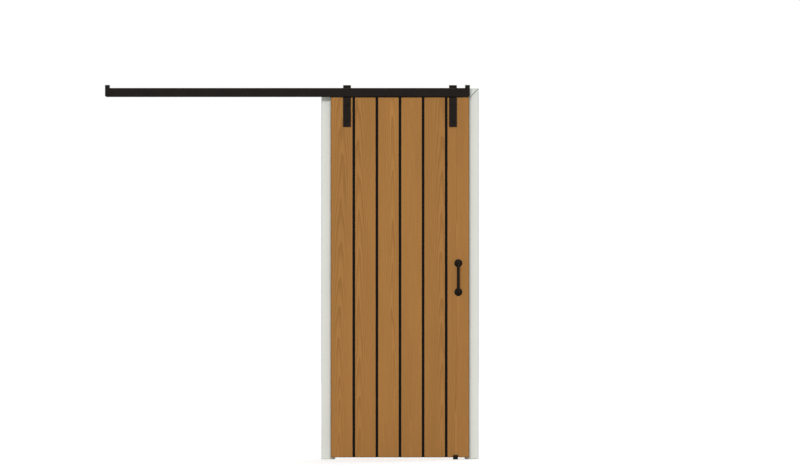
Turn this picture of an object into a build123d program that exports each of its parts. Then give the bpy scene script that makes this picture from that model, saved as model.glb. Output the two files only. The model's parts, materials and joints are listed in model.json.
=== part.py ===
from build123d import *

import os

# All sizes are in millimetres. X runs along the wall, Y into the wall, Z up. The origin is on the
# floor, in the middle of the doorway, in the plane of the wall's front face.

# Doorway, and the jambs that line it
opening_width = 762.0
opening_height = 2096.0
wall_depth = 116.0
jamb_thickness = 19.0
jamb_housing = 6.0  # how far the head is let into each side jamb
jamb_horn = 6.0  # side jamb left above the head
jamb_ease = 1.0

# Flat casing round the doorway on both faces of the wall, mitred at its upper corners
casing_width = 76.0
casing_thickness = 18.0
casing_reveal = 4.0
casing_round = 2.0
relief_from = 22.0  # hollow along the back, measured from the edge next to the doorway
relief_to = 44.0
relief_depth = 2.0
mitre_ease = 1.6

# Door leaf: upright boards in front, ledges and braces behind
door_width = 813.0
door_bottom = 12.0
door_top = 2124.8
board_count = 6
board_thickness = 22.0
board_back = -44.0
board_gap = 10.0  # open joint on the face, dark because it is deep
board_back_gap = 0.6
board_ease = 1.0
tongue_thickness = 6.0
tongue_reach = 6.0
groove_depth = 8.0
groove_play = 0.2
ledge_thickness = 18.0
ledge_height = 140.0
ledge_inset = 10.0
ledge_bevel = 3.0
ledge_bottoms = {"bottom": 120.0, "middle": 996.0, "top": 1962.0}
brace_inset = 26.0
brace_cut_width = 145.0  # along the ledge that it meets

# Hanger straps, let into the top of the door, folded over it and up behind the rail
strap_x = 310.8
strap_width = 46.0
strap_thickness = 5.0
strap_fold = 3.0  # inside radius
strap_seat = door_top - strap_thickness
strap_side_play = 0.3
strap_bottom = 1950.0
strap_top = 2196.0
strap_back = -28.0
strap_corner = 3.0
strap_bolt_heights = (1985.0, 2079.0)
strap_bolt_radius = 4.0
strap_bolt_play = 0.4
strap_bolt_head = (8.0, 4.0)  # radius, height
nut_width = 13.0
nut_height = 6.5
nut_recess = (11.0, 9.0)  # radius, depth
washer_radius = 8.0
washer_thickness = 1.6
thread_play = 0.05

# Rail: a channel with its web in front and a slot between two lips behind
rail_front = -72.0
rail_bottom = 2126.0
rail_height = 52.5
rail_depth = 38.0
rail_wall = 3.0
rail_lip = 13.0
rail_fold = 1.5
rail_right = 410.0  # outer faces of the two end brackets
rail_left = -1730.0
rail_end_play = 2.0

# End brackets, which carry the rail and stop the trolleys
bracket_thickness = 4.0
bracket_fold = 2.0
bracket_tab_width = 28.6
bracket_bottom = 2131.0
bracket_top = 2196.0
bracket_shoulder = 2176.0
flange_length = 70.0
flange_holes = (37.0, 59.0)  # from the bracket's outer face
flange_hole_radius = 3.5
rail_screw_inset = 14.3
rail_screw_radius = 4.0
rail_screw_head = (7.5, 3.5)
rail_screw_length = 28.0
socket_width = 5.0
socket_depth = 2.5
stop_block_height = 36.0
stop_block_depth = 27.0
bumper_thickness = 6.0
bumper_height = 26.0
bumper_depth = 25.0
bumper_round = 3.0
stop_play = 0.4

# Trolleys: a bar in the channel with two rollers, bolted through the slot to a strap
trolley_half = 70.0
trolley_height = 26.0
trolley_thickness = 6.0
trolley_back = -39.0
trolley_corner = 6.0
trolley_bolt_offset = 11.0
trolley_bolt_play = 0.25
spacer_radius = 7.0
hex_head_height = 5.3
bolt_tail = 1.0
roller_offset = 50.0
roller_radius = 19.0
roller_width = 15.0
roller_back = -48.5
roller_ease = 1.0
roller_lift = 0.3  # running clearance over the rail's lower flange
bearing_radius = 11.0
bearing_width = 7.0
bearing_lip = 1.5
shield_depth = 0.5
axle_radius = 4.0
axle_play = 0.05
axle_shoulder = 6.2
axle_side_play = 0.3
axle_head_front = -66.5

# Pull handle on the front
handle_x = 342.0
handle_heights = (982.0, 1151.0)
handle_radius = 8.5
handle_reach = 46.0
handle_bend = 20.0
rosette_radius = 23.5
rosette_rim = 2.0
rosette_height = 6.0
rosette_play = 0.1
handle_bolt_radius = 3.0
handle_bolt_play = 0.25
handle_bolt_head = (6.0, 4.0)
handle_bolt_length = 40.0

# Flush pull let into the back of the middle ledge
flush_length = 130.0
flush_width = 46.0
flush_lip = 1.5
cup_length = 100.0
cup_width = 34.0
cup_depth = 13.0
cup_wall = 1.5
cup_round = 4.0
cup_play = 0.3
flush_screw_offset = 57.5
flush_screw_radius = 2.0
flush_screw_head = (3.8, 1.4)
flush_screw_length = 14.0

# Floor guide, a channel that straddles the foot of the boards
guide_x = 325.5
guide_width = 29.0
guide_height = 26.4
guide_sheet = 3.0
guide_fold = 1.0
guide_corner = 4.0
guide_clearance = 3.0
guide_pad_thickness = 2.0
guide_pad_length = 24.0
guide_pad_bottom = 8.0
guide_hole_offset = 6.0
guide_hole_radius = 2.25
guide_hole_sink = (4.5, 2.2)

board_front = board_back - board_thickness
board_pitch = door_width / board_count
ledge_back = board_back + ledge_thickness
rail_axis_z = rail_bottom + rail_height / 2
roller_z = rail_bottom + rail_wall + roller_lift + roller_radius
strap_centres = {"left": -strap_x, "right": strap_x}


def block(xs, ys, zs):
    """Rectangular block between three pairs of limits."""
    middle = [(low + high) / 2 for low, high in (xs, ys, zs)]
    size = [high - low for low, high in (xs, ys, zs)]
    return Pos(*middle) * Box(*size)


def to_front(x, y, z):
    """Place of a piece drawn looking along its own Z, now looking out of the wall."""
    return Pos(x, y, z) * Rot(90, 0, 0)


def to_back(x, y, z):
    """Place of a piece drawn looking along its own Z, now looking into the wall."""
    return Pos(x, y, z) * Rot(-90, 0, 0)


def turned(*outline):
    """Round piece from a closed outline of radius and height, or from its edges."""
    edges = outline if isinstance(outline[0], Edge) else [Polyline(*outline, close=True)]
    return revolve(Plane.XZ * make_face(edges), Axis.Z)


def round_bar(radius, bottom, top):
    return Pos(0, 0, (bottom + top) / 2) * Cylinder(radius, top - bottom)


def ring(outer, inner, bottom, top):
    return round_bar(outer, bottom, top) - round_bar(inner, bottom, top)


def sunk_screw(head, shank_radius, length, play=0.0):
    """Countersunk screw with its flat head at height 0, or the hole for it with some play."""
    head_radius, head_depth = head
    outline = [
        (0, 0),
        (head_radius + play, 0),
        (shank_radius + play, -head_depth),
        (shank_radius + play, -length),
        (0, -length),
    ]
    return turned(*outline)


def hex_prism(width, bottom, top):
    across = RegularPolygon(width / 2, 6, major_radius=False)
    return Pos(0, 0, bottom) * extrude(across, amount=top - bottom)


def folded_sheet(points, radii, thickness, side):
    """Section of a sheet of even thickness, folded along points that lie on one of its faces."""
    face_line = FilletPolyline(*points, radius=radii)
    return make_face(offset(face_line, amount=thickness, side=side))


# Frame


def side_jamb(sign):
    inner = opening_width / 2
    outer = inner + jamb_thickness
    head_top = opening_height + jamb_thickness
    jamb = block((inner, outer), (0, wall_depth), (0, head_top + jamb_horn))
    room_edges = jamb.edges().filter_by(Axis.Z).group_by(Axis.X)[0]
    jamb = chamfer(room_edges, jamb_ease)
    jamb -= block((0, inner + jamb_housing), (-1, wall_depth + 1), (opening_height, head_top))
    return jamb if sign > 0 else mirror(jamb, Plane.YZ)


def head_jamb():
    half = opening_width / 2 + jamb_housing
    return block(
        (-half, half), (0, wall_depth), (opening_height, opening_height + jamb_thickness)
    )


def casing_section():
    """Section of the casing: across its width from the doorway outwards, then out of the wall."""
    flat = Pos(casing_width / 2, casing_thickness / 2) * Rectangle(casing_width, casing_thickness)
    section = fillet(flat.vertices().group_by(Axis.Y)[-1], casing_round)
    hollow_width = relief_to - relief_from
    hollow = Pos(relief_from + hollow_width / 2, relief_depth / 2)
    return section - hollow * Rectangle(hollow_width, relief_depth)


def casing_outline(leg):
    """Face of one piece of casing seen from the front, with its mitred end or ends."""
    inner_x = opening_width / 2 + casing_reveal
    inner_z = opening_height + casing_reveal
    outer_x = inner_x + casing_width
    outer_z = inner_z + casing_width
    if leg:
        corners = [(-outer_x, 0), (-inner_x, 0), (-inner_x, inner_z), (-outer_x, outer_z)]
    else:
        corners = [(-inner_x, inner_z), (inner_x, inner_z), (outer_x, outer_z), (-outer_x, outer_z)]
    outline = make_face(Polyline(*corners, close=True))
    return extrude(Plane.XZ * outline, amount=casing_thickness)


def casing_leg():
    inner_x = opening_width / 2 + casing_reveal
    length = opening_height + casing_reveal + casing_width
    run = Plane((-inner_x, 0, 0), x_dir=(-1, 0, 0), z_dir=(0, 0, 1))
    return extrude(run * casing_section(), amount=length) & casing_outline(leg=True)


def casing_head():
    outer_x = opening_width / 2 + casing_reveal + casing_width
    inner_z = opening_height + casing_reveal
    run = Plane((-outer_x, 0, inner_z), x_dir=(0, 0, 1), z_dir=(1, 0, 0))
    return extrude(run * casing_section(), amount=2 * outer_x) & casing_outline(leg=False)


def mitre_groove():
    """Wedge that eases the two edges of the upper left mitre."""
    inner_x = opening_width / 2 + casing_reveal
    inner_z = opening_height + casing_reveal
    overrun = 5.0
    start = (-inner_x + overrun, -casing_thickness, inner_z - overrun)
    run = Plane(start, x_dir=(1, 0, 1), z_dir=(-1, 0, 1))
    outside = mitre_ease + 1
    wedge = make_face(Polyline((-outside, -1), (outside, -1), (0, mitre_ease), close=True))
    return extrude(run * wedge, amount=casing_width * 2**0.5 + 3 * overrun)


def casings():
    """Both sets of casing. The front head has the holes for the right bracket's wall screws."""
    groove = mitre_groove()
    left = casing_leg() - groove
    head = casing_head() - groove - mirror(groove, Plane.YZ)
    front = {"left": left, "right": mirror(left, Plane.YZ), "head": head}
    turned_round = Pos(0, wall_depth, 0) * Rot(0, 0, 180)
    pieces = {f"casing_front_{name}": piece for name, piece in front.items()}
    pieces["casing_back_left"] = turned_round * front["right"]
    pieces["casing_back_right"] = turned_round * front["left"]
    pieces["casing_back_head"] = turned_round * head
    for inset in flange_holes:
        place = to_front(rail_right - inset, -casing_thickness, rail_axis_z)
        pieces["casing_front_head"] -= place * round_bar(flange_hole_radius, -casing_thickness, 1)
    return pieces


# Door leaf


def fastener_holes():
    """Every hole through the boards: x, z and radius."""
    strap_hole = strap_bolt_radius + strap_bolt_play
    holes = [(x, z, strap_hole) for x in strap_centres.values() for z in strap_bolt_heights]
    holes += [(handle_x, z, handle_bolt_radius + handle_bolt_play) for z in handle_heights]
    return holes


def strap_notch():
    """Notch in the top of a board for the strap, eased where the strap's fold is round."""
    side_view = [
        (board_front - 1, strap_seat - strap_fold - 1),
        (board_front + strap_fold, strap_seat),
        (board_back + 1, strap_seat),
        (board_back + 1, door_top + 1),
        (board_front - 1, door_top + 1),
    ]
    outline = Plane.YZ * make_face(Polyline(*side_view, close=True))
    return extrude(outline, amount=strap_width / 2 + strap_side_play, both=True)


def board(index):
    """One upright board. Inner edges have a tongue on the right and a groove on the left."""
    left = -door_width / 2 + index * board_pitch
    right = left + board_pitch
    middle = (board_front + board_back) / 2
    tongue = (middle - tongue_thickness / 2, middle + tongue_thickness / 2)
    groove = (tongue[0] - groove_play, tongue[1] + groove_play)
    if index == 0:
        left_side = [(left, board_back), (left, board_front)]
    else:
        face, back = left + board_gap / 2, left + board_back_gap / 2
        deep = face + groove_depth
        left_side = [(back, board_back), (back, groove[1]), (deep, groove[1])]
        left_side += [(deep, groove[0]), (face, groove[0]), (face, board_front)]
    if index == board_count - 1:
        right_side = [(right, board_front), (right, board_back)]
    else:
        face, back = right - board_gap / 2, right - board_back_gap / 2
        tip = right + board_gap / 2 + tongue_reach
        right_side = [(face, board_front), (face, tongue[0]), (tip, tongue[0])]
        right_side += [(tip, tongue[1]), (back, tongue[1]), (back, board_back)]
    section = make_face(Polyline(*left_side, *right_side, close=True))
    plank = extrude(Pos(0, 0, door_bottom) * section, amount=door_top - door_bottom)
    front_edges = plank.edges().filter_by(Axis.Z).group_by(Axis.Y)[0]
    plank = chamfer(front_edges, board_ease)
    top_edge = plank.edges().filter_by(Axis.X).group_by(Axis.Z)[-1].sort_by(Axis.Y)[0]
    plank = chamfer(top_edge, board_ease)
    for x in strap_centres.values():
        if left < x < right:
            plank -= Pos(x, 0, 0) * strap_notch()
    for x, z, radius in fastener_holes():
        if left < x < right:
            plank -= to_front(x, board_front, z) * round_bar(radius, -board_thickness - 1, 1)
    return plank


def ledge(bottom):
    """Rail across the back of the boards, bevelled round its back face."""
    half = door_width / 2 - ledge_inset
    plank = block((-half, half), (board_back, ledge_back), (bottom, bottom + ledge_height))
    return chamfer(plank.faces().sort_by(Axis.Y)[-1].edges(), ledge_bevel)


def top_ledge():
    plank = ledge(ledge_bottoms["top"])
    for x in strap_centres.values():
        for z in strap_bolt_heights:
            bolt_way = round_bar(strap_bolt_radius + strap_bolt_play, -ledge_thickness - 1, 1)
            recess = round_bar(nut_recess[0], -nut_recess[1], 1)
            plank -= to_back(x, ledge_back, z) * (bolt_way + recess)
    return plank


def middle_ledge():
    plank = ledge(ledge_bottoms["middle"])
    length, width = cup_length + cup_play, cup_width + cup_play
    mortise = extrude(SlotOverall(length, width, rotation=90), amount=-cup_depth - cup_play)
    screws = Part() + [
        Pos(0, offset_z, 0) * round_bar(flush_screw_radius, -flush_screw_length, 1)
        for offset_z in (-flush_screw_offset, flush_screw_offset)
    ]
    return plank - to_back(handle_x, ledge_back, flush_pull_z()) * (mortise + screws)


def brace(bottom, top, rises_to):
    """Diagonal between two ledges, cut level where it meets them. rises_to is 1 for the right."""
    edge = door_width / 2 - brace_inset
    low_corner, high_corner = -edge * rises_to, edge * rises_to
    cut = brace_cut_width * rises_to
    corners = [(low_corner, bottom), (low_corner + cut, bottom)]
    corners += [(high_corner, top), (high_corner - cut, top)]
    outline = Plane.XZ.offset(-ledge_back) * make_face(Polyline(*corners, close=True))
    plank = extrude(outline, amount=ledge_thickness)
    slanted = [e for e in plank.faces().sort_by(Axis.Y)[-1].edges() if abs((e % 0.5).Z) > 0.1]
    return chamfer(slanted, ledge_bevel)


# Hangers


def strap(x):
    points = [(board_front, strap_bottom), (board_front, strap_seat)]
    points += [(strap_back, strap_seat), (strap_back, strap_top)]
    radii = [strap_fold, strap_fold + strap_thickness]
    section = folded_sheet(points, radii, strap_thickness, Side.LEFT)
    bar = extrude(Plane.YZ * section, amount=strap_width / 2, both=True)
    across = bar.edges().filter_by(Axis.Y).group_by(Axis.Z)
    bar = fillet(across[0] + across[-1], strap_corner)
    for z in strap_bolt_heights:
        way = round_bar(strap_bolt_radius + strap_bolt_play, -1, strap_thickness + 1)
        bar -= to_front(0, board_front, z) * way
    for side in (-1, 1):
        way = round_bar(strap_bolt_radius + trolley_bolt_play, -1, strap_thickness + 1)
        bar -= to_front(side * trolley_bolt_offset, strap_back, rail_axis_z) * way
    return Pos(x, 0, 0) * bar


def at_strap_bolts(piece, y, place):
    """Copies of a piece on the four strap bolts."""
    spots = [(x, z) for x in strap_centres.values() for z in strap_bolt_heights]
    return Part() + [place(x, y, z) * piece for x, z in spots]


def strap_bolts():
    """Low domed heads on the straps, shanks through boards and ledge."""
    head_radius, head_height = strap_bolt_head
    head = round_bar(head_radius, 0, head_height)
    head = fillet(head.edges().group_by(Axis.Z)[-1], head_height * 0.8)
    head -= hex_prism(socket_width, head_height - socket_depth, head_height + 1)
    front = board_front - strap_thickness
    bolt = head + round_bar(strap_bolt_radius, front - ledge_back + 0.5, 0)
    return at_strap_bolts(bolt, front, to_front)


def strap_washers():
    washer = ring(washer_radius, strap_bolt_radius + thread_play, 0, washer_thickness)
    return at_strap_bolts(washer, ledge_back - nut_recess[1], to_back)


def hex_nut():
    corner_cone = Cone(nut_width * 0.62, nut_width * 0.5, nut_height, align=(Align.CENTER,) * 3)
    nut = hex_prism(nut_width, 0, nut_height) & Pos(0, 0, nut_height / 2) * corner_cone
    return nut - round_bar(strap_bolt_radius + thread_play, -1, nut_height + 1)


def strap_nuts():
    seat = ledge_back - nut_recess[1] + washer_thickness
    return at_strap_bolts(hex_nut(), seat, to_back)


# Rail and its ends


def rail():
    back = rail_front + rail_depth
    top = rail_bottom + rail_height
    points = [(back, rail_bottom + rail_lip), (back, rail_bottom), (rail_front, rail_bottom)]
    points += [(rail_front, top), (back, top), (back, top - rail_lip)]
    section = folded_sheet(points, rail_fold + rail_wall, rail_wall, Side.RIGHT)
    first = rail_left + bracket_thickness + rail_end_play
    last = rail_right - bracket_thickness - rail_end_play
    bar = Pos(first, 0, 0) * extrude(Plane.YZ * section, amount=last - first)
    for x in (rail_left + rail_screw_inset, rail_right - rail_screw_inset):
        way = round_bar(rail_screw_radius + trolley_bolt_play, -rail_wall - 1, 1)
        bar -= to_front(x, rail_front, rail_axis_z) * way
    return bar


def at_rail_end(piece, end):
    """Place of a piece drawn for the right end of the rail, with the bracket's outer face at X 0."""
    if end == "right":
        return Pos(rail_right, 0, 0) * piece
    return Pos(rail_left, 0, 0) * mirror(piece, Plane.YZ)


def rail_bracket(end, wall_y):
    """Folded plate: a tab on the rail's web, an end plate, and a flange against the wall."""
    tab_front = rail_front - bracket_thickness
    points = [(-bracket_tab_width, tab_front), (0, tab_front), (0, wall_y), (-flange_length, wall_y)]
    section = folded_sheet(points, bracket_fold + bracket_thickness, bracket_thickness, Side.LEFT)
    height = bracket_top - bracket_bottom
    plate = extrude(Pos(0, 0, bracket_bottom) * section, amount=height)
    rail_back = rail_front + rail_depth
    side_view = [
        (tab_front, bracket_bottom),
        (wall_y, bracket_bottom),
        (wall_y, bracket_shoulder),
        (rail_back, bracket_shoulder),
        (rail_front + bracket_thickness, bracket_top),
        (tab_front, bracket_top),
    ]
    outline = Plane.YZ * make_face(Polyline(*side_view, close=True))
    plate &= extrude(outline, amount=-flange_length)
    for inset in flange_holes:
        way = round_bar(flange_hole_radius, -bracket_thickness - 1, 1)
        plate -= to_front(-inset, wall_y - bracket_thickness, rail_axis_z) * way
    sunk = sunk_screw(rail_screw_head, rail_screw_radius, bracket_thickness + 1, trolley_bolt_play)
    plate -= to_front(-rail_screw_inset, tab_front, rail_axis_z) * sunk
    return at_rail_end(plate, end)


def stop_face():
    """Trolley side of the rubber bumper, measured inwards from the bracket's outer face."""
    return rail_right - strap_x - trolley_half - stop_play


def stop_block(end):
    """Steel block in the rail's end, which the rail screw is threaded into."""
    web_back = rail_front + rail_wall
    xs = (-stop_face() + bumper_thickness, -bracket_thickness)
    ys = (web_back, web_back + stop_block_depth)
    zs = (rail_axis_z - stop_block_height / 2, rail_axis_z + stop_block_height / 2)
    way = round_bar(rail_screw_radius + thread_play, -rail_screw_length, 1)
    piece = block(xs, ys, zs) - to_front(-rail_screw_inset, web_back, rail_axis_z) * way
    return at_rail_end(piece, end)


def bumper(end):
    """Rubber pad bonded to the stop block."""
    pad_front = trolley_back - bumper_depth
    xs = (-stop_face(), -stop_face() + bumper_thickness)
    zs = (rail_axis_z - bumper_height / 2, rail_axis_z + bumper_height / 2)
    pad = block(xs, (pad_front, trolley_back), zs)
    pad = fillet(pad.edges().filter_by(Axis.X), bumper_round)
    return at_rail_end(pad, end)


def rail_screws():
    tab_front = rail_front - bracket_thickness
    screw = sunk_screw(rail_screw_head, rail_screw_radius, rail_screw_length)
    screw -= hex_prism(socket_width, -socket_depth, 1)
    screw = to_front(-rail_screw_inset, tab_front, rail_axis_z) * screw
    return Part() + [at_rail_end(screw, "left"), at_rail_end(screw, "right")]


# Trolleys


def trolley_bar(x):
    xs, ys = (-trolley_half, trolley_half), (trolley_back - trolley_thickness, trolley_back)
    zs = (rail_axis_z - trolley_height / 2, rail_axis_z + trolley_height / 2)
    bar = fillet(block(xs, ys, zs).edges().filter_by(Axis.Y), trolley_corner)
    for side in (-1, 1):
        tapped = round_bar(strap_bolt_radius + thread_play, -1, trolley_thickness + 1)
        bar -= to_front(side * trolley_bolt_offset, trolley_back, rail_axis_z) * tapped
        riveted = round_bar(axle_radius, -1, trolley_thickness + 1)
        bar -= to_front(side * roller_offset, trolley_back, roller_z) * riveted
    return Pos(x, 0, 0) * bar


def at_trolley_bolts(piece, y):
    """Copies of a piece on the four bolts between straps and trolley bars, seen from behind."""
    sides = (-trolley_bolt_offset, trolley_bolt_offset)
    spots = [x + side for x in strap_centres.values() for side in sides]
    return Part() + [to_back(x, y, rail_axis_z) * piece for x in spots]


def trolley_bolts():
    tip = trolley_back - trolley_thickness - bolt_tail - strap_back
    head = hex_prism(nut_width, washer_thickness, washer_thickness + hex_head_height)
    return at_trolley_bolts(head + round_bar(strap_bolt_radius, tip, washer_thickness), strap_back)


def trolley_washers():
    washer = ring(washer_radius, strap_bolt_radius + thread_play, 0, washer_thickness)
    return at_trolley_bolts(washer, strap_back)


def trolley_spacers():
    """Sleeves that pass through the slot and keep the bar off the strap."""
    length = strap_back - strap_thickness - trolley_back
    sleeve = ring(spacer_radius, strap_bolt_radius + thread_play, 0, length)
    return at_trolley_bolts(sleeve, trolley_back)


def roller_centres():
    """X of the four rollers, from left to right."""
    return [x + side * roller_offset for x in (-strap_x, strap_x) for side in (-1, 1)]


def bearing_span():
    """Back and front of the bearing, as heights above the back of its roller."""
    low = (roller_width - bearing_width) / 2
    return low, low + bearing_width


def roller(x):
    """Wheel with a seat for its bearing, closed by a lip at the back."""
    low, high = bearing_span()
    wheel = round_bar(roller_radius, 0, roller_width)
    wheel = chamfer(wheel.edges().filter_by(GeomType.CIRCLE), roller_ease)
    wheel -= round_bar(bearing_radius, low, roller_width + 1)
    wheel -= round_bar(bearing_radius - bearing_lip, -1, low)
    return to_front(x, roller_back, roller_z) * wheel


def bearing(x):
    """Ball bearing, closed by its shield: two races with a shallow groove between them."""
    low, high = bearing_span()
    race = ring(bearing_radius, axle_radius + axle_play, low, high)
    shield_outer = bearing_radius - bearing_lip
    shield_inner = axle_radius + bearing_lip
    race -= ring(shield_outer, shield_inner, high - shield_depth, high + 1)
    return to_front(x, roller_back, roller_z) * race


def roller_axles():
    """Headed pins, riveted in the trolley bars."""
    low, high = bearing_span()
    head_end = roller_back - axle_head_front
    pin = round_bar(axle_shoulder, high + axle_side_play, head_end)
    pin += round_bar(axle_radius, roller_back - trolley_back, high + axle_side_play)
    return Part() + [to_front(x, roller_back, roller_z) * pin for x in roller_centres()]


def axle_spacers():
    low, high = bearing_span()
    bar_front = roller_back - trolley_back + trolley_thickness
    sleeve = ring(axle_shoulder, axle_radius + axle_play, bar_front, low - axle_side_play)
    return Part() + [to_front(x, roller_back, roller_z) * sleeve for x in roller_centres()]


# Pulls


def pull_handle():
    """Round bar, bent to stand off the boards, with its ends drilled for bolts."""
    low, high = handle_heights
    grip_y = board_front - handle_reach
    points = [(handle_x, board_front, low), (handle_x, grip_y, low)]
    points += [(handle_x, grip_y, high), (handle_x, board_front, high)]
    path = FilletPolyline(*points, radius=handle_bend)
    bar = sweep(Plane(origin=path @ 0, z_dir=path % 0) * Circle(handle_radius), path)
    depth = handle_bolt_length - board_thickness + 2
    for z in handle_heights:
        hole = round_bar(handle_bolt_radius + thread_play, -1, depth)
        bar -= to_front(handle_x, board_front, z) * hole
    return bar


def rosette(z):
    """Collar with a domed face, slipped over the end of the handle."""
    bore = handle_radius + rosette_play
    crown = bore + 3
    mid_radius = (crown + rosette_radius) / 2
    mid_height = rosette_rim + 0.72 * (rosette_height - rosette_rim)
    foot = Polyline((crown, rosette_height), (bore, rosette_height), (bore, 0))
    base = Polyline((bore, 0), (rosette_radius, 0), (rosette_radius, rosette_rim))
    dome = ThreePointArc(
        (rosette_radius, rosette_rim), (mid_radius, mid_height), (crown, rosette_height)
    )
    return to_front(handle_x, board_front, z) * turned(*foot.edges(), *base.edges(), dome)


def handle_bolts():
    head_radius, head_height = handle_bolt_head
    head = round_bar(head_radius, 0, head_height)
    head = fillet(head.edges().group_by(Axis.Z)[-1], head_height / 2)
    head -= hex_prism(socket_width, head_height - socket_depth, head_height + 1)
    bolt = head + round_bar(handle_bolt_radius, -handle_bolt_length, 0)
    return Part() + [to_back(handle_x, board_back, z) * bolt for z in handle_heights]


def flush_pull_z():
    return ledge_bottoms["middle"] + ledge_height / 2


def flush_pull():
    """Drawn cup with a flat lip, fixed by a screw at each end."""
    lip = extrude(SlotOverall(flush_length, flush_width, rotation=90), amount=flush_lip)
    cup = extrude(SlotOverall(cup_length, cup_width, rotation=90), amount=-cup_depth)
    cup = chamfer(cup.edges().group_by(Axis.Z)[0], cup_round - cup_wall)
    inner_size = (cup_length - 2 * cup_wall, cup_width - 2 * cup_wall)
    inside = extrude(SlotOverall(*inner_size, rotation=90), amount=-cup_depth + cup_wall)
    inside = fillet(inside.edges().group_by(Axis.Z)[0], cup_round - cup_wall)
    mouth = extrude(SlotOverall(*inner_size, rotation=90), amount=flush_lip + 1)
    pull = lip + cup - inside - mouth
    for offset_z in (-flush_screw_offset, flush_screw_offset):
        hole = sunk_screw(flush_screw_head, flush_screw_radius, flush_lip + 1, thread_play)
        pull -= Pos(0, offset_z, flush_lip) * hole
    return to_back(handle_x, ledge_back, flush_pull_z()) * pull


def flush_pull_screws():
    screw = sunk_screw(flush_screw_head, flush_screw_radius, flush_screw_length)
    offsets = (-flush_screw_offset, flush_screw_offset)
    place = to_back(handle_x, ledge_back + flush_lip, flush_pull_z())
    return Part() + [place * Pos(0, offset_z, 0) * screw for offset_z in offsets]


# Floor guide


def floor_guide():
    """Folded channel with two cheeks and two countersunk holes in its floor."""
    front = board_front - guide_clearance - guide_sheet
    back = board_back + guide_clearance + guide_sheet
    points = [(front, guide_height), (front, 0), (back, 0), (back, guide_height)]
    section = folded_sheet(points, guide_fold + guide_sheet, guide_sheet, Side.LEFT)
    channel = extrude(Plane.YZ * section, amount=guide_width / 2, both=True)
    cheek_corners = channel.edges().filter_by(Axis.Y).group_by(Axis.Z)[-1]
    channel = fillet(cheek_corners, guide_corner)
    for offset_y in (-guide_hole_offset, guide_hole_offset):
        middle_y = (front + back) / 2 + offset_y
        hole = sunk_screw(guide_hole_sink, guide_hole_radius, guide_sheet + 1)
        channel -= Pos(0, middle_y, guide_sheet) * hole
    return Pos(guide_x, 0, 0) * channel


def guide_pad(side):
    """Plastic strip on the inner face of a cheek. side is -1 for the front cheek, 1 for the back."""
    faces = {-1: board_front - guide_clearance, 1: board_back + guide_clearance}
    ys = sorted((faces[side], faces[side] - side * guide_pad_thickness))
    xs = (guide_x - guide_pad_length / 2, guide_x + guide_pad_length / 2)
    pad = block(xs, ys, (guide_pad_bottom, guide_height - guide_corner))
    inner_edges = pad.edges().filter_by(Axis.Z).group_by(Axis.Y)[-1 if side < 0 else 0]
    return fillet(inner_edges, guide_pad_thickness / 2)


def all_nodes():
    nodes = {"jamb_left": side_jamb(-1), "jamb_right": side_jamb(1), "jamb_head": head_jamb()}
    nodes.update(casings())
    nodes["rail_channel"] = rail()
    nodes["rail_bracket_left"] = rail_bracket("left", 0.0)
    nodes["rail_bracket_right"] = rail_bracket("right", -casing_thickness)
    for end in ("left", "right"):
        nodes[f"stop_block_{end}"] = stop_block(end)
        nodes[f"bumper_{end}"] = bumper(end)
    nodes["rail_screws"] = rail_screws()
    nodes["floor_guide"] = floor_guide()
    nodes["guide_pad_front"] = guide_pad(-1)
    nodes["guide_pad_back"] = guide_pad(1)
    for index in range(board_count):
        nodes[f"board_{index + 1}"] = board(index)
    nodes["ledge_bottom"] = ledge(ledge_bottoms["bottom"])
    nodes["ledge_middle"] = middle_ledge()
    nodes["ledge_top"] = top_ledge()
    lower = (ledge_bottoms["bottom"] + ledge_height, ledge_bottoms["middle"])
    upper = (ledge_bottoms["middle"] + ledge_height, ledge_bottoms["top"])
    nodes["brace_lower"] = brace(*lower, rises_to=-1)
    nodes["brace_upper"] = brace(*upper, rises_to=1)
    for side, x in strap_centres.items():
        nodes[f"strap_{side}"] = strap(x)
        nodes[f"trolley_bar_{side}"] = trolley_bar(x)
    nodes["strap_bolts"] = strap_bolts()
    nodes["strap_washers"] = strap_washers()
    nodes["strap_nuts"] = strap_nuts()
    nodes["trolley_bolts"] = trolley_bolts()
    nodes["trolley_washers"] = trolley_washers()
    nodes["trolley_spacers"] = trolley_spacers()
    for number, x in enumerate(roller_centres(), start=1):
        nodes[f"roller_{number}"] = roller(x)
        nodes[f"bearing_{number}"] = bearing(x)
    nodes["roller_axles"] = roller_axles()
    nodes["axle_spacers"] = axle_spacers()
    nodes["pull_handle"] = pull_handle()
    nodes["rosette_lower"] = rosette(handle_heights[0])
    nodes["rosette_upper"] = rosette(handle_heights[1])
    nodes["handle_bolts"] = handle_bolts()
    nodes["flush_pull"] = flush_pull()
    nodes["flush_pull_screws"] = flush_pull_screws()
    return nodes


os.makedirs("parts", exist_ok=True)
for name, shape in all_nodes().items():
    export_step(shape, f"parts/{name}.step")
    print(name, len(shape.solids()), round(shape.volume))
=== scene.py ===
import json
import math

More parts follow.
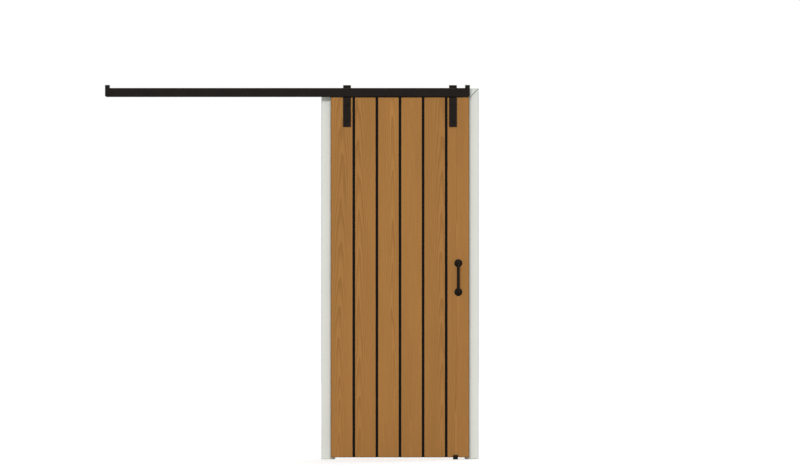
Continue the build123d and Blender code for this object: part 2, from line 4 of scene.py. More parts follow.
import bmesh
import bpy
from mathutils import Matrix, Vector


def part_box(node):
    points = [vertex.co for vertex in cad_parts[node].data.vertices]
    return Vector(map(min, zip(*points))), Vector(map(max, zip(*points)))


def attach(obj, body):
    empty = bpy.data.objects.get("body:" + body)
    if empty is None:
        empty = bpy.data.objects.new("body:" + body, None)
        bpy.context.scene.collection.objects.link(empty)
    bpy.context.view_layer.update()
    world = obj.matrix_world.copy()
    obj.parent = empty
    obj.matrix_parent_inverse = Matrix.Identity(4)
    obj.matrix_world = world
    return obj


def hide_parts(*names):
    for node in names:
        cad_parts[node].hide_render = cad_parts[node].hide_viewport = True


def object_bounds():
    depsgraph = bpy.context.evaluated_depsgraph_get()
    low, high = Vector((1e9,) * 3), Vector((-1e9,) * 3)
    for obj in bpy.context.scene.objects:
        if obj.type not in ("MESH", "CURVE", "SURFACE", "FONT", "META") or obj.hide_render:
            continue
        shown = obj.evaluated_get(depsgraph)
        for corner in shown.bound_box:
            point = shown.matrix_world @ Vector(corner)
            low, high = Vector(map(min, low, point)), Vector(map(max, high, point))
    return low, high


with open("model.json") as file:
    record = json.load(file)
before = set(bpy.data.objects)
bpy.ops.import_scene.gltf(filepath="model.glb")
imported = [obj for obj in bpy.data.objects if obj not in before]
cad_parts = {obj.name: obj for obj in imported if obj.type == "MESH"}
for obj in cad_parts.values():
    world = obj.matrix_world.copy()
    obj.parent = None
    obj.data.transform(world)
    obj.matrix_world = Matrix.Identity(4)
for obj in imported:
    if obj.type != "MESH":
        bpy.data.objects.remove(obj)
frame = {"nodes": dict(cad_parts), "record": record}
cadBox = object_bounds()
print("frame loaded:", len(frame["nodes"]), "nodes")

# Camera, square on to the front of the door, with a lens so long that the front looks flat

cameraValues = {
    "lens": 300.0,  # mm
    "sensorWidth": 36.0,  # mm
    "widthSeen": 4.692,  # metres across the picture, at the face of the boards
    "middleHeight": 1.331,  # metres from the floor to the middle of the picture
    "clipFactor": 4.0,  # how far the camera sees, in distances from it to the door
}


def placeCamera(values):
    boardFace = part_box("board_1")[0].y
    distance = values["widthSeen"] * values["lens"] / values["sensorWidth"]
    data = bpy.data.cameras.new("frontCamera")
    data.lens = values["lens"]
    data.sensor_width = values["sensorWidth"]
    data.clip_end = values["clipFactor"] * distance
    camera = bpy.data.objects.new("frontCamera", data)
    camera.location = (0, boardFace - distance, values["middleHeight"])
    camera.rotation_euler = (math.radians(90), 0, 0)
    bpy.context.scene.collection.objects.link(camera)
    bpy.context.scene.camera = camera


placeCamera(cameraValues)
print("camera placed")

# Small helpers for shader and geometry trees


def addNode(tree, kind, inputs=None, **settings):
    made = tree.nodes.new(kind)
    for name, value in settings.items():
        setattr(made, name, value)
    for key, value in (inputs or {}).items():
        if isinstance(value, bpy.types.NodeSocket):
            tree.links.new(value, made.inputs[key])
        else:
            made.inputs[key].default_value = value
    return made


def calc(tree, operation, *values):
    return addNode(tree, "ShaderNodeMath", dict(enumerate(values)), operation=operation).outputs[0]


def vectorCalc(tree, operation, *values):
    inputs = dict(enumerate(values))
    return addNode(tree, "ShaderNodeVectorMath", inputs, operation=operation).outputs[0]


def smoothStep(tree, value, low, high):  # 0 below low, 1 above high
    inputs = {"Value": value, "From Min": low, "From Max": high}
    return addNode(tree, "ShaderNodeMapRange", inputs, interpolation_type="SMOOTHSTEP").outputs[0]


def spread(tree, value, low, high):  # 0 to 1 becomes low to high
    return addNode(tree, "ShaderNodeMapRange", {"Value": value, "To Min": low, "To Max": high}).outputs[0]


def blendColours(tree, amount, first, second, blend="MIX"):
    inputs = {0: amount, 6: first, 7: second}
    return addNode(tree, "ShaderNodeMix", inputs, data_type="RGBA", blend_type=blend).outputs[2]


def noise(tree, coordinates, scale, detail=2.0):
    inputs = {"Vector": coordinates, "Scale": scale, "Detail": detail}
    return addNode(tree, "ShaderNodeTexNoise", inputs).outputs[0]


def newTree(name, kind, inputs, outputs):
    tree = bpy.data.node_groups.new(name, kind)
    for label, socketType, value in inputs:
        socket = tree.interface.new_socket(name=label, in_out="INPUT", socket_type=socketType)
        if value is not None:
            socket.default_value = value
    for label, socketType in outputs:
        tree.interface.new_socket(name=label, in_out="OUTPUT", socket_type=socketType)
    given = tree.nodes.new("NodeGroupInput").outputs
    wanted = tree.nodes.new("NodeGroupOutput").inputs
    return tree, given, wanted


def useGroup(tree, group, inputs):
    made = tree.nodes.new("ShaderNodeGroup")
    made.node_tree = group
    for name, value in inputs.items():
        if isinstance(value, bpy.types.NodeSocket):
            tree.links.new(value, made.inputs[name])
        else:
            made.inputs[name].default_value = value
    return made.outputs


# Floor, world and lamps. White comes from what the camera sees, not from more light on the object

stageValues = {
    "floorSize": 40.0,
    "floorDrop": 0.0002,  # keeps the floor just under the feet of the jambs
    "floorColour": (0.8, 0.8, 0.8, 1),
    "floorLift": 0.42,  # added for the camera, so that the lit floor is white and shadow stays grey
    "skySeen": 1.0,  # for the camera, gloss and glass
    "skyOnObject": 0.43,  # as light on the object
}
lampValues = {  # turn from the front, height and softness are in degrees
    "leftLamp": {"strength": 0.91, "turn": -10, "height": 24, "softness": 10},
    "rightLamp": {"strength": 0.75, "turn": 9, "height": 28, "softness": 10},
    "backLamp": {"strength": 1.5, "turn": 155, "height": 36, "softness": 60},
}


def seenDirectly(tree):  # 1 for the camera, gloss and glass, 0 for the light that falls on things
    ray = tree.nodes.new("ShaderNodeLightPath").outputs
    seen = calc(tree, "MAXIMUM", ray["Is Camera Ray"], ray["Is Glossy Ray"])
    return calc(tree, "MAXIMUM", seen, ray["Is Transmission Ray"])


def buildWorld(values):
    world = bpy.data.worlds.new("paleRoom")
    world.use_nodes = True
    tree = world.node_tree
    strength = spread(tree, seenDirectly(tree), values["skyOnObject"], values["skySeen"])
    background = tree.nodes["Background"]
    background.inputs["Color"].default_value = (1, 1, 1, 1)
    tree.links.new(strength, background.inputs["Strength"])
    bpy.context.scene.world = world


def buildFloor(values):
    mesh = bpy.data.meshes.new("studioFloor")
    shape = bmesh.new()
    bmesh.ops.create_grid(shape, x_segments=1, y_segments=1, size=values["floorSize"] / 2)
    bmesh.ops.translate(shape, vec=(0, 0, cadBox[0].z - values["floorDrop"]), verts=shape.verts)
    shape.to_mesh(mesh)
    shape.free()
    floor = bpy.data.objects.new("studioFloor", mesh)
    bpy.context.scene.collection.objects.link(floor)
    material = bpy.data.materials.new("paleFloor")
    material.use_nodes = True
    tree = material.node_tree
    surface = tree.nodes["Principled BSDF"].inputs
    surface["Base Color"].default_value = values["floorColour"]
    surface["Roughness"].default_value = 1.0
    surface["Specular IOR Level"].default_value = 0.0
    surface["Emission Color"].default_value = (1, 1, 1, 1)
    lift = calc(tree, "MULTIPLY", seenDirectly(tree), values["floorLift"])
    tree.links.new(lift, surface["Emission Strength"])
    mesh.materials.append(material)


def addLamp(name, values):
    data = bpy.data.lights.new(name, "SUN")
    data.energy = values["strength"]
    data.angle = math.radians(values["softness"])
    lamp = bpy.data.objects.new(name, data)
    lamp.rotation_euler = (math.radians(90 - values["height"]), 0, math.radians(values["turn"]))
    bpy.context.scene.collection.objects.link(lamp)


bpy.context.scene.view_settings.view_transform = "Standard"
buildWorld(stageValues)
buildFloor(stageValues)
for lampName, lampSettings in lampValues.items():
    addLamp(lampName, lampSettings)
print("stage and lamps built")

# Shader groups that several finishes share

grainValues = {
    "seedStep": 7.31,  # shift of the noise from one seed to the next
    "pithAside": 0.045,  # how far the pith may lie to either side of the board's middle
    "pithBehind": (0.035, 0.09),
    "pithWander": 0.03,
    "ripple": 0.009,
    "darkening": (0.25, 0.88),  # part of a ring over which it turns to late wood
    "ending": (1.0, 0.93),  # and the short part over which late wood stops
    "wanderNoise": (0.01, 1.4),  # waves for each metre across the grain and along it
    "rippleNoise": (16.0, 1.8),
    "fibreNoise": (900.0, 11.0),
    "toneNoise": (10.0, 0.9),
    "fineDetail": 3.0,
    "ringRelief": 0.6,
    "fibreRelief": 0.4,
}


def buildTimberGrain(values):  # growth rings round a wandering pith, cut through by the board's faces
    tree, given, wanted = newTree(
        "timberGrain",
        "ShaderNodeTree",
        [
            ("Coordinates", "NodeSocketVector", None),  # X across, Y through, Z along the grain
            ("Seed", "NodeSocketFloat", 0.0),
            ("Ring Width", "NodeSocketFloat", 0.006),
            ("Pith Drift", "NodeSocketFloat", 0.03),
        ],
        [
            ("Late Wood", "NodeSocketFloat"),
            ("Fibre", "NodeSocketFloat"),
            ("Tone", "NodeSocketFloat"),
            ("Height", "NodeSocketFloat"),
        ],
    )
    random = addNode(tree, "ShaderNodeTexWhiteNoise", {"W": given["Seed"]}, noise_dimensions="1D")
    chance = addNode(tree, "ShaderNodeSeparateColor", {0: random.outputs["Color"]}).outputs
    apart = calc(tree, "MULTIPLY", given["Seed"], values["seedStep"])
    shift = addNode(tree, "ShaderNodeCombineXYZ", {0: apart, 1: apart, 2: apart}).outputs[0]
    own = vectorCalc(tree, "ADD", given["Coordinates"], shift)
    place = addNode(tree, "ShaderNodeSeparateXYZ", {0: given["Coordinates"]}).outputs

    def grainNoise(name, detail=2.0):
        across, along = values[name]
        stretched = vectorCalc(tree, "MULTIPLY", own, (across, across, along))
        return noise(tree, stretched, 1.0, detail)

    def eitherSide(value, reach):
        return spread(tree, value, -reach, reach)

    wander = eitherSide(grainNoise("wanderNoise"), values["pithWander"])
    pithX = calc(tree, "ADD", eitherSide(chance[0], values["pithAside"]), wander)
    pithY = spread(tree, chance[1], *values["pithBehind"])
    slope = calc(tree, "MULTIPLY", eitherSide(chance[2], 1.0), given["Pith Drift"])
    fromX = calc(tree, "SUBTRACT", place[0], pithX)
    fromY = calc(tree, "ADD", place[1], calc(tree, "ADD", pithY, calc(tree, "MULTIPLY", place[2], slope)))
    squares = [calc(tree, "MULTIPLY", side, side) for side in (fromX, fromY)]
    radius = calc(tree, "SQRT", calc(tree, "ADD", *squares))
    ripple = eitherSide(grainNoise("rippleNoise", values["fineDetail"]), values["ripple"])
    rings = calc(tree, "DIVIDE", calc(tree, "ADD", radius, ripple), given["Ring Width"])
    phase = calc(tree, "FRACT", rings)
    rise = smoothStep(tree, phase, *values["darkening"])
    fall = smoothStep(tree, phase, *values["ending"])
    late = calc(tree, "MULTIPLY", rise, fall)
    fibre = grainNoise("fibreNoise", values["fineDetail"])
    tone = grainNoise("toneNoise")
    ringRelief = calc(tree, "MULTIPLY", late, values["ringRelief"])
    relief = calc(tree, "ADD", ringRelief, calc(tree, "MULTIPLY", fibre, values["fibreRelief"]))
    tree.links.new(late, wanted["Late Wood"])
    tree.links.new(fibre, wanted["Fibre"])
    tree.links.new(tone, wanted["Tone"])
    tree.links.new(relief, wanted["Height"])
    return tree


softEdgeValues = {
    "samples": 4,
    "facing": (0.995, 0.90),  # cosine of the turn at which an edge starts to count, and counts in full
}


def buildSoftEdges(values):  # rounds sharp edges in the shading, and finds them
    tree, given, wanted = newTree(
        "softEdges",
        "ShaderNodeTree",
        [("Radius", "NodeSocketFloat", 0.0008)],
        [("Normal", "NodeSocketVector"), ("Edge", "NodeSocketFloat")],
    )
    radius = {"Radius": given["Radius"]}
    rounded = addNode(tree, "ShaderNodeBevel", radius, samples=values["samples"]).outputs[0]
    flat = tree.nodes.new("ShaderNodeNewGeometry").outputs["Normal"]
    inputs = {0: rounded, 1: flat}
    facing = addNode(tree, "ShaderNodeVectorMath", inputs, operation="DOT_PRODUCT").outputs["Value"]
    tree.links.new(rounded, wanted["Normal"])
    tree.links.new(smoothStep(tree, facing, *values["facing"]), wanted["Edge"])
    return tree


def buildFineTexture():  # small even unevenness, as on powder coat, rubber or moulded nylon
    tree, given, wanted = newTree(
        "fineTexture",
        "ShaderNodeTree",
        [
            ("Coordinates", "NodeSocketVector", None),
            ("Grain Size", "NodeSocketFloat", 0.0012),
            ("Patch Size", "NodeSocketFloat", 0.09),
        ],
        [("Height", "NodeSocketFloat"), ("Patches", "NodeSocketFloat")],
    )
    fineScale = calc(tree, "DIVIDE", 1.0, given["Grain Size"])
    broadScale = calc(tree, "DIVIDE", 1.0, given["Patch Size"])
    tree.links.new(noise(tree, given["Coordinates"], fineScale), wanted["Height"])
    tree.links.new(noise(tree, given["Coordinates"], broadScale, detail=3.0), wanted["Patches"])
    return tree


timberGrain = buildTimberGrain(grainValues)
softEdges = buildSoftEdges(softEdgeValues)
fineTexture = buildFineTexture()
print("shader groups built")

# Finishes


def startMaterial(name):
    material = bpy.data.materials.new(name)
    material.use_nodes = True
    tree = material.node_tree
    return material, tree, tree.nodes["Principled BSDF"].inputs


def objectCoordinates(tree):
    return tree.nodes.new("ShaderNodeTexCoord").outputs["Object"]


def mapped(tree, turn=(0, 0, 0), move=(0, 0, 0)):
    inputs = {"Vector": objectCoordinates(tree), "Rotation": turn, "Location": move}
    return addNode(tree, "ShaderNodeMapping", inputs).outputs[0]


def addBump(tree, height, depth, normal, surface):
    inputs = {"Strength": 1.0, "Distance": depth, "Height": height, "Normal": normal}
    tree.links.new(addNode(tree, "ShaderNodeBump", inputs).outputs[0], surface["Normal"])


boards = sorted(name for name in frame["nodes"] if name.startswith("board_"))
ledges = ("ledge_bottom", "ledge_middle", "ledge_top")
stainedTimber = {
    "earlyWood": (0.366, 0.174, 0.0475, 1),
    "lateWood": (0.302, 0.138, 0.0355, 1),
    # painted shade: near-black that stands for the shadow in the joints between boards and along the eased
    # edges round the leaf
    "paintedShadeBlack": (0.0025, 0.002, 0.0018, 1),
    "jointReach": 0.0078,  # painted shade on both sides of the middle of a joint
    "jointFade": 0.0002,
    "tongueFront": 0.6,  # part of a board's thickness that lies in front of its tongue
    "arrisReach": 0.0024,  # painted shade round the leaf, along the eased edges of its face
    "arrisDepth": 0.0013,
    "toneChange": 0.14,  # part by which the colour may turn brighter or darker
    "fibreChange": 0.20,
    "boardChange": 0.04,  # from one board to the next
    "reliefDepth": 0.00012,
    "roughness": (0.42, 0.58),
    "specular": 0.08,
    "edgeRadius": 0.0012,
    "edgeDarkening": 0.35,
    "seed": 11.0,
    "ledgesPerMetre": 1.6,  # each ledge falls in a stretch of its own, and so gets its own grain
}


def brightened(tree, colour, amount):  # colour times 1 + amount
    factor = calc(tree, "ADD", amount, 1.0)
    shade = addNode(tree, "ShaderNodeCombineXYZ", {0: factor, 1: factor, 2: factor}).outputs[0]
    return blendColours(tree, 1.0, colour, shade, "MULTIPLY")


def centred(tree, value, change):  # 0 to 1 becomes -change to change
    return calc(tree, "MULTIPLY", calc(tree, "SUBTRACT", value, 0.5), 2 * change)


def boardLayout():  # lowest x and pitch of the row of boards, and the box of the first
    first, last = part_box(boards[0]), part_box(boards[-1])
    return first[0].x, (last[1].x - first[0].x) / len(boards), first


def paintedShadeLines(tree, place, count, values):  # painted shade in the joints between boards, and along the eased edges round the leaf
    lowest, pitch, (corner, farCorner) = boardLayout()
    toJoint = calc(tree, "SUBTRACT", calc(tree, "FRACT", calc(tree, "ADD", count, 0.5)), 0.5)
    toJoint = calc(tree, "MULTIPLY", calc(tree, "ABSOLUTE", toJoint), pitch)
    reach = values["jointReach"]
    joint = smoothStep(tree, toJoint, reach + values["jointFade"], reach)
    fromMiddle = calc(tree, "ABSOLUTE", place[0])
    joint = calc(tree, "MULTIPLY", joint, calc(tree, "LESS_THAN", fromMiddle, -lowest - pitch / 2))
    tongueFace = corner.y + values["tongueFront"] * (farCorner.y - corner.y)
    joint = calc(tree, "MULTIPLY", joint, calc(tree, "LESS_THAN", place[1], tongueFace))
    arris = values["arrisReach"]
    sides = calc(tree, "GREATER_THAN", fromMiddle, -lowest - arris)
    foot = calc(tree, "LESS_THAN", place[2], corner.z + arris)
    head = calc(tree, "GREATER_THAN", place[2], farCorner.z - arris)
    edge = calc(tree, "MAXIMUM", sides, calc(tree, "MAXIMUM", foot, head))
    edge = calc(tree, "MULTIPLY", edge, calc(tree, "LESS_THAN", place[1], corner.y + values["arrisDepth"]))
    return calc(tree, "MAXIMUM", joint, edge)


def makeTimber(name, values, turn=(0, 0, 0), upright=False):
    material, tree, surface = startMaterial(name)
    turnedPlace = mapped(tree, turn=turn)
    place = addNode(tree, "ShaderNodeSeparateXYZ", {0: turnedPlace}).outputs
    if upright:
        lowest, pitch, _ = boardLayout()
        count = calc(tree, "DIVIDE", calc(tree, "SUBTRACT", place[0], lowest), pitch)
        number = calc(tree, "FLOOR", count)
        middle = calc(tree, "MULTIPLY", calc(tree, "ADD", number, 0.5), pitch)
        across = calc(tree, "SUBTRACT", place[0], calc(tree, "ADD", middle, lowest))
    else:
        number = calc(tree, "FLOOR", calc(tree, "MULTIPLY", place[0], values["ledgesPerMetre"]))
        across = place[0]
    local = addNode(tree, "ShaderNodeCombineXYZ", {0: across, 1: place[1], 2: place[2]}).outputs[0]
    grainInputs = {"Coordinates": local, "Seed": calc(tree, "ADD", number, values["seed"])}
    grain = useGroup(tree, timberGrain, grainInputs)
    edges = useGroup(tree, softEdges, {"Radius": values["edgeRadius"]})
    colour = blendColours(tree, grain["Late Wood"], values["earlyWood"], values["lateWood"])
    random = addNode(tree, "ShaderNodeTexWhiteNoise", {"W": number}, noise_dimensions="1D").outputs[0]
    streaks = calc(
        tree,
        "ADD",
        centred(tree, grain["Tone"], values["toneChange"]),
        centred(tree, grain["Fibre"], values["fibreChange"]),
    )
    edge = calc(tree, "MULTIPLY", edges["Edge"], -values["edgeDarkening"])
    board = calc(tree, "ADD", centred(tree, random, values["boardChange"]), edge)
    colour = brightened(tree, colour, calc(tree, "ADD", streaks, board))
    if upright:
        # near-black painted shade in the joints and along the leaf's eased edges
        dark = paintedShadeLines(tree, place, count, values)
        colour = blendColours(tree, dark, colour, values["paintedShadeBlack"])
    tree.links.new(colour, surface["Base Color"])
    tree.links.new(spread(tree, grain["Fibre"], *values["roughness"]), surface["Roughness"])
    surface["Specular IOR Level"].default_value = values["specular"]
    addBump(tree, grain["Height"], values["reliefDepth"], edges["Normal"], surface)
    return material


paintValues = {
    "colour": (0.712, 0.738, 0.692, 1),
    "strokeColour": (0.697, 0.721, 0.673, 1),
    # painted shade: near-black line that stands for the shadow in the mitre's hairline gap
    "mitreShadeColour": (0.020, 0.019, 0.017, 1),
    "mitreReach": 0.0016,  # half the width of the painted shade line
    "mitreCore": 0.7,  # part of that reach that is fully dark
    # painted shade along the casing's arrises and at its foot
    "arrisReach": 0.0032,
    "arrisCore": 0.3,
    "arrisDepth": 0.0022,
    "arrisShade": 0.70,
    "patchSize": 0.25,
    "patchRange": (0.3, 0.8),
    "strokeAcross": 420.0,  # brush marks per metre
    "strokeAlong": 6.0,
    "strokeDepth": 0.00005,
    "roughness": (0.34, 0.46),
    "specular": 0.3,
    "edgeRadius": 0.001,
}


def casingPaintedShade(tree, coordinates, values):  # painted shade along the mitre line, and painted shade along the arrises and at the foot
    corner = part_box("casing_front_right")
    innerX, width, face = corner[0].x, corner[1].x - corner[0].x, corner[0].y
    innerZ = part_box("casing_front_head")[0].z
    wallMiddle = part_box("jamb_left")[1].y / 2
    place = addNode(tree, "ShaderNodeSeparateXYZ", {0: coordinates}).outputs
    outwards = calc(tree, "SUBTRACT", calc(tree, "ABSOLUTE", place[0]), innerX)
    upwards = calc(tree, "SUBTRACT", place[2], innerZ)
    fromMiddle = calc(tree, "ABSOLUTE", calc(tree, "SUBTRACT", place[1], wallMiddle))

    offLine = calc(tree, "ABSOLUTE", calc(tree, "SUBTRACT", outwards, upwards))
    reach = values["mitreReach"] * math.sqrt(2)
    mitre = smoothStep(tree, offLine, reach, values["mitreCore"] * reach)

    across = calc(tree, "MAXIMUM", outwards, upwards)
    toEdge = calc(tree, "MINIMUM", across, calc(tree, "SUBTRACT", width, across))
    toEdge = calc(tree, "MINIMUM", toEdge, place[2])
    shaded = values["arrisReach"]
    arris = smoothStep(tree, toEdge, shaded, values["arrisCore"] * shaded)
    onFace = calc(tree, "GREATER_THAN", fromMiddle, wallMiddle - face - values["arrisDepth"])
    return calc(tree, "MULTIPLY", mitre, onFace), calc(tree, "MULTIPLY", arris, onFace)


def makePaint(name, values, alongX=False):
    material, tree, surface = startMaterial(name)
    along, across = values["strokeAlong"], values["strokeAcross"]
    stretch = (along, across, across) if alongX else (across, across, along)
    place = objectCoordinates(tree)
    strokes = noise(tree, vectorCalc(tree, "MULTIPLY", place, stretch), 1.0, detail=3.0)
    texture = useGroup(tree, fineTexture, {"Coordinates": place, "Patch Size": values["patchSize"]})
    edges = useGroup(tree, softEdges, {"Radius": values["edgeRadius"]})
    patches = smoothStep(tree, texture["Patches"], *values["patchRange"])
    colour = blendColours(tree, patches, values["colour"], values["strokeColour"])
    mitre, arris = casingPaintedShade(tree, place, values)
    # painted shade: darker along the arrises and foot, and near-black along the mitre line
    colour = brightened(tree, colour, calc(tree, "MULTIPLY", arris, -values["arrisShade"]))
    colour = blendColours(tree, mitre, colour, values["mitreShadeColour"])
    tree.links.new(colour, surface["Base Color"])
    tree.links.new(spread(tree, strokes, *values["roughness"]), surface["Roughness"])
    surface["Specular IOR Level"].default_value = values["specular"]
    addBump(tree, strokes, values["strokeDepth"], edges["Normal"], surface)
    return material


coatPatches = (0.35, 0.7)  # where the broad noise turns from the coat's colour to its patches
coatValues = {
    "powderCoat": {
        "colour": (0.0072, 0.0045, 0.0028, 1),
        "patchColour": (0.0096, 0.0065, 0.0046, 1),
        "edgeColour": (0.018, 0.014, 0.011, 1),
        "metallic": 0.0,
        "roughness": (0.40, 0.54),
        "specular": 0.08,
        "grainSize": 0.0011,
        "grainDepth": 0.00005,
        "edgeRadius": 0.0009,
    },
    "zincPlate": {
        "colour": (0.47, 0.46, 0.43, 1),
        "patchColour": (0.40, 0.395, 0.38, 1),
        "edgeColour": (0.60, 0.59, 0.57, 1),
        "metallic": 1.0,
        "roughness": (0.28, 0.44),
        "specular": 0.5,
        "grainSize": 0.0006,
        "grainDepth": 0.00001,
        "edgeRadius": 0.0004,
    },
    "groundSteel": {
        "colour": (0.52, 0.52, 0.52, 1),
        "patchColour": (0.46, 0.46, 0.47, 1),
        "edgeColour": (0.62, 0.62, 0.62, 1),
        "metallic": 1.0,
        "roughness": (0.16, 0.26),
        "specular": 0.5,
        "grainSize": 0.0004,
        "grainDepth": 0.000004,
        "edgeRadius": 0.0003,
    },
    "mouldedRubber": {
        "colour": (0.018, 0.018, 0.018, 1),
        "patchColour": (0.026, 0.026, 0.025, 1),
        "edgeColour": (0.03, 0.03, 0.03, 1),
        "metallic": 0.0,
        "roughness": (0.72, 0.86),
        "specular": 0.3,
        "grainSize": 0.0009,
        "grainDepth": 0.00006,
        "edgeRadius": 0.0008,
    },
}


def makeCoat(name, values):
    material, tree, surface = startMaterial(name)
    inputs = {"Coordinates": objectCoordinates(tree), "Grain Size": values["grainSize"]}
    texture = useGroup(tree, fineTexture, inputs)
    edges = useGroup(tree, softEdges, {"Radius": values["edgeRadius"]})
    patches = smoothStep(tree, texture["Patches"], *coatPatches)
    colour = blendColours(tree, patches, values["colour"], values["patchColour"])
    colour = blendColours(tree, edges["Edge"], colour, values["edgeColour"])
    tree.links.new(colour, surface["Base Color"])
    tree.links.new(spread(tree, texture["Patches"], *values["roughness"]), surface["Roughness"])
    surface["Metallic"].default_value = values["metallic"]
    surface["Specular IOR Level"].default_value = values["specular"]
    addBump(tree, texture["Height"], values["grainDepth"], edges["Normal"], surface)
    return material


nylonValues = {
    "colour": (0.62, 0.60, 0.54, 1),
    "grooveColour": (0.56, 0.54, 0.48, 1),
    "cutsPerMetre": 1600.0,  # fine rings left by the lathe
    "cutDepth": 0.00003,
    "cutRange": (0.25, 0.75),
    "roughness": 0.42,
    "edgeRadius": 0.0005,
}


def makeNylon(name, values, centre):  # turned about a line through centre, along Y
    material, tree, surface = startMaterial(name)
    place = addNode(tree, "ShaderNodeSeparateXYZ", {0: mapped(tree, move=-centre)}).outputs
    flat = addNode(tree, "ShaderNodeCombineXYZ", {0: place[0], 2: place[2]}).outputs[0]
    radius = addNode(tree, "ShaderNodeVectorMath", {0: flat}, operation="LENGTH").outputs["Value"]
    path = calc(tree, "MULTIPLY", calc(tree, "ADD", radius, place[1]), values["cutsPerMetre"] * math.tau)
    cuts = spread(tree, calc(tree, "SINE", path), *values["cutRange"])
    edges = useGroup(tree, softEdges, {"Radius": values["edgeRadius"]})
    tree.links.new(blendColours(tree, cuts, values["colour"], values["grooveColour"]), surface["Base Color"])
    surface["Roughness"].default_value = values["roughness"]
    addBump(tree, cuts, values["cutDepth"], edges["Normal"], surface)
    return material


braces = {"brace_lower": -1, "brace_upper": 1}  # 1 where it rises to the right, seen from the front
braceCut = 0.145  # width of a brace along the ledge that it meets


def braceLine(name):  # middle of a brace's back face, at its foot and at its head
    bottom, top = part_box(name)
    side = braces[name]
    left, right = bottom.x + braceCut / 2, top.x - braceCut / 2
    foot, head = (left, right) if side > 0 else (right, left)
    return Vector((foot, top.y, bottom.z)), Vector((head, top.y, top.z))


def braceTurn(name):  # turn that brings the grain of a diagonal upright
    foot, head = braceLine(name)
    return (0, -math.atan2(head.x - foot.x, head.z - foot.z), 0)


def dressNodes():
    quarter = math.radians(90)
    finishes = {slot: makeCoat(slot, values) for slot, values in coatValues.items()}
    bySlot = {
        "boards": makeTimber("stainedBoards", stainedTimber, upright=True),
        "painted_trim": makePaint("paintUpright", paintValues),
        "black_hardware": finishes["powderCoat"],
        "zinc_steel": finishes["zincPlate"],
        "bearing_steel": finishes["groundSteel"],
        "rubber": finishes["mouldedRubber"],
    }
    byNode = {}
    paintAcross = makePaint("paintAcross", paintValues, alongX=True)
    for name in ("jamb_head", "casing_front_head", "casing_back_head"):
        byNode[name] = paintAcross
    ledgeTimber = makeTimber("stainedLedges", stainedTimber, turn=(0, quarter, 0))
    for name in ledges:
        byNode[name] = ledgeTimber
    for name in braces:
        byNode[name] = makeTimber(f"stained_{name}", stainedTimber, turn=braceTurn(name))
    for part in frame["record"]["subparts"]:
        name, slot = part["node"], part["material_slot"]
        if slot == "nylon":
            low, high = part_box(name)
            material = makeNylon(f"nylon_{name}", nylonValues, (low + high) / 2)
        else:
            material = byNode.get(name, bySlot.get(slot))
        mesh = frame["nodes"][name].data
        mesh.materials.clear()
        mesh.materials.append(material)


dressNodes()
print("finishes on every node")

# Screws, set out in rows of pairs


def buildRowTree():
    tree, given, wanted = newTree(
        "fastenerRow",
        "GeometryNodeTree",
        [
            ("Geometry", "NodeSocketGeometry", None),
            ("Fastener", "NodeSocketObject", None),
            ("First", "NodeSocketVector", None),
            ("Step", "NodeSocketVector", None),
            ("Count", "NodeSocketInt", 6),
            ("Half Pair", "NodeSocketVector", None),  # from a row point to each of its two fasteners
            ("Turn Seed", "NodeSocketInt", 5),
            ("Finish", "NodeSocketMaterial", None),
        ],
        [("Geometry", "NodeSocketGeometry")],
    )
    lineInputs = {"Count": given["Count"], "Start Location": given["First"], "Offset": given["Step"]}
    line = addNode(tree, "GeometryNodeMeshLine", lineInputs, mode="OFFSET", count_mode="TOTAL")
    twice = {"Geometry": line.outputs[0], "Amount": 2}
    pairs = addNode(tree, "GeometryNodeDuplicateElements", twice, domain="POINT")
    side = calc(tree, "SUBTRACT", calc(tree, "MULTIPLY", pairs.outputs["Duplicate Index"], 2.0), 1.0)
    scaling = {0: given["Half Pair"], "Scale": side}
    away = addNode(tree, "ShaderNodeVectorMath", scaling, operation="SCALE").outputs[0]
    placed = addNode(tree, "GeometryNodeSetPosition", {"Geometry": pairs.outputs["Geometry"], "Offset": away})
    angle = addNode(tree, "FunctionNodeRandomValue", {"Seed": given["Turn Seed"]}, data_type="FLOAT")
    angle.inputs[3].default_value = math.tau
    spin = addNode(tree, "ShaderNodeCombineXYZ", {1: angle.outputs[1]}).outputs[0]
    fastener = addNode(tree, "GeometryNodeObjectInfo", {"Object": given["Fastener"]})
    inputs = {"Points": placed.outputs[0], "Instance": fastener.outputs["Geometry"], "Rotation": spin}
    row = addNode(tree, "GeometryNodeInstanceOnPoints", inputs)
    joined = addNode(tree, "GeometryNodeJoinGeometry")
    tree.links.new(row.outputs[0], joined.inputs[0])
    tree.links.new(given["Geometry"], joined.inputs[0])
    real = addNode(tree, "GeometryNodeRealizeInstances", {"Geometry": joined.outputs[0]})
    finishing = {"Geometry": real.outputs[0], "Material": given["Finish"]}
    finished = addNode(tree, "GeometryNodeSetMaterial", finishing)
    tree.links.new(finished.outputs[0], wanted["Geometry"])
    return tree


rowTree = buildRowTree()


def setInputs(modifier, values):
    items = modifier.node_group.interface.items_tree
    sockets = {item.name: item.identifier for item in items if item.in_out == "INPUT"}
    for name, value in values.items():
        modifier[sockets[name]] = value


def makeRows(name, rows, fastener, material, body):
    host = bpy.data.objects.new(name, bpy.data.meshes.new(name))
    bpy.context.scene.collection.objects.link(host)
    for number, row in enumerate(rows):
        modifier = host.modifiers.new(f"row{number}", "NODES")
        modifier.node_group = rowTree
        setInputs(modifier, {"Fastener": fastener, "Finish": material, "Turn Seed": number, **row})
    graph = bpy.context.evaluated_depsgraph_get()
    mesh = bpy.data.meshes.new_from_object(host.evaluated_get(graph))
    host.modifiers.clear()
    host.data = mesh
    bpy.data.objects.remove(fastener)
    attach(host, body)
    return host


latheValues = {
    "segments": 24,
    "lobes": 6,  # of the driver's recess
}


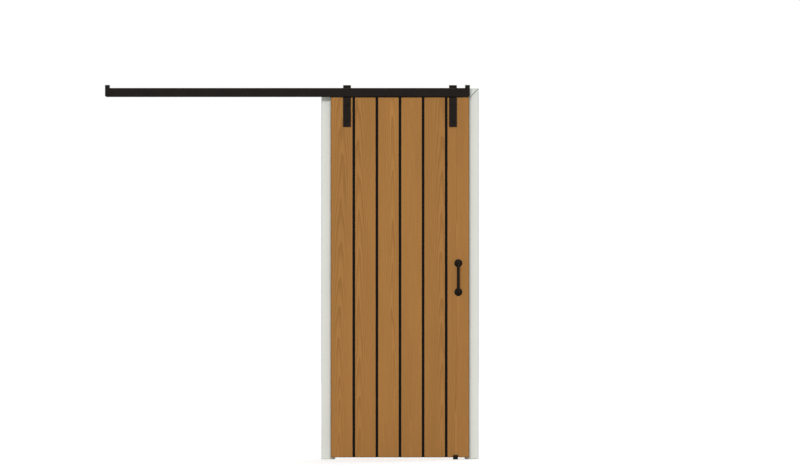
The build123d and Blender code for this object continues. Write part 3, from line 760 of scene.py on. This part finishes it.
def latheWithRecess(name, rings, values):  # rings of (radius, height, lobe), closed at both ends
    shape = bmesh.new()
    segments = values["segments"]
    loops = []
    for radius, height, lobe in rings:
        loop = []
        for index in range(segments):
            angle = math.tau * index / segments
            reach = radius * (1 + lobe * math.cos(values["lobes"] * angle))
            loop.append(shape.verts.new((reach * math.cos(angle), height, reach * math.sin(angle))))
        loops.append(loop)
    for low, high in zip(loops, loops[1:]):
        for index in range(segments):
            after = (index + 1) % segments
            shape.faces.new((low[index], low[after], high[after], high[index]))
    shape.faces.new(loops[0])
    shape.faces.new(loops[-1])
    bmesh.ops.recalc_face_normals(shape, faces=shape.faces)
    mesh = bpy.data.meshes.new(name)
    shape.to_mesh(mesh)
    shape.free()
    return bpy.data.objects.new(name, mesh)


ledgeScrewValues = {
    "headRadius": 0.0048,
    "headRim": 0.0042,
    "headEdge": 0.0005,  # height at which the head starts to round over
    "proud": 0.0012,
    "bedded": 0.0002,  # how far the head's underside is pressed into the wood
    "shankRadius": 0.0022,
    "tip": 0.25,  # part of the shank's radius
    "length": 0.035,
    "recessRadius": 0.0020,
    "recessFloor": 0.0017,  # radius, at the bottom of the recess
    "recessDepth": 0.0010,
    "lobe": 0.16,
    "pairAcross": 0.045,
    "pairUp": 0.035,
    "braceAlong": 0.030,
    "braceAcross": 0.028,
}


def screwRings(values):  # a wafer head on the wood, and the shank through it into the board
    head, shank = values["headRadius"], values["shankRadius"]
    proud, bedded, lobe = values["proud"], -values["bedded"], values["lobe"]
    return [
        (shank * values["tip"], -values["length"], 0),
        (shank, -values["length"] + shank, 0),
        (shank, bedded, 0),
        (head, bedded, 0),
        (head, values["headEdge"], 0),
        (values["headRim"], proud, 0),
        (values["recessRadius"], proud, lobe),
        (values["recessFloor"], proud - values["recessDepth"], lobe),
    ]


def ledgeRows(values):
    low, pitch, _ = boardLayout()
    rows = []
    for name in ledges:
        bottom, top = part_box(name)
        first = (low + pitch / 2, top.y, (bottom.z + top.z) / 2)
        halfPair = (values["pairAcross"], 0, values["pairUp"])
        rows.append({"First": first, "Step": (pitch, 0, 0), "Count": len(boards), "Half Pair": halfPair})
    for name in braces:
        foot, head = braceLine(name)
        slope = (head - foot) / (head.x - foot.x)  # for each metre to the right
        middles = [low + pitch * (index + 0.5) for index in range(len(boards))]
        inside = [x for x in middles if min(foot.x, head.x) < x < max(foot.x, head.x)]
        first = foot + slope * (inside[0] - foot.x)
        along = (head - foot).normalized()
        aside = Vector((along.z, 0, -along.x))
        halfPair = along * values["braceAlong"] + aside * values["braceAcross"]
        row = {"First": first[:], "Step": (slope * pitch)[:], "Count": len(inside)}
        rows.append({**row, "Half Pair": halfPair[:]})
    return rows


screwHead = latheWithRecess("screwHead", screwRings(ledgeScrewValues), latheValues)
zincPlate = bpy.data.materials["zincPlate"]
makeRows("ledge_screws", ledgeRows(ledgeScrewValues), screwHead, zincPlate, "door")
print("screws in ledges and braces")

pullScrewValues = {
    "shankRadius": 0.002,
    "tip": 0.2,  # part of the shank's radius
    "headDepth": 0.0014,
    "rim": 0.94,  # part of the head's radius
    "crown": 0.00012,
    "recessRadius": 0.0017,
    "recessRim": 1.3,
    "recessDepth": 0.0011,
    "recessTaper": 0.9,
    "lobe": 0.16,
}


def pullScrew(values):  # countersunk screw as long as the solid that it stands for
    low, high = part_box("flush_pull_screws")
    head, length = (high.x - low.x) / 2, high.y - low.y
    shank, recess, lobe = values["shankRadius"], values["recessRadius"], values["lobe"]
    rings = [
        (shank * values["tip"], -length, 0),
        (shank, -length + shank, 0),
        (shank, -values["headDepth"], 0),
        (head, -2 * values["crown"], 0),
        (head * values["rim"], -values["crown"], 0),
        (recess * values["recessRim"], 0, 0),
        (recess, -values["crown"], lobe),
        (recess * values["recessTaper"], -values["recessDepth"], lobe),
    ]
    middle = (low + high) / 2
    halfPair = (0, 0, high.z - head - middle.z)
    row = {"First": (middle.x, high.y, middle.z), "Step": (0, 0, 0), "Count": 1, "Half Pair": halfPair}
    return latheWithRecess("pullScrew", rings, latheValues), row


pullScrewShape, pullScrewRow = pullScrew(pullScrewValues)
pullScrews = makeRows("pull_screws", [pullScrewRow], pullScrewShape, zincPlate, "door")
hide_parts("flush_pull_screws")
print("screws in the flush pull")
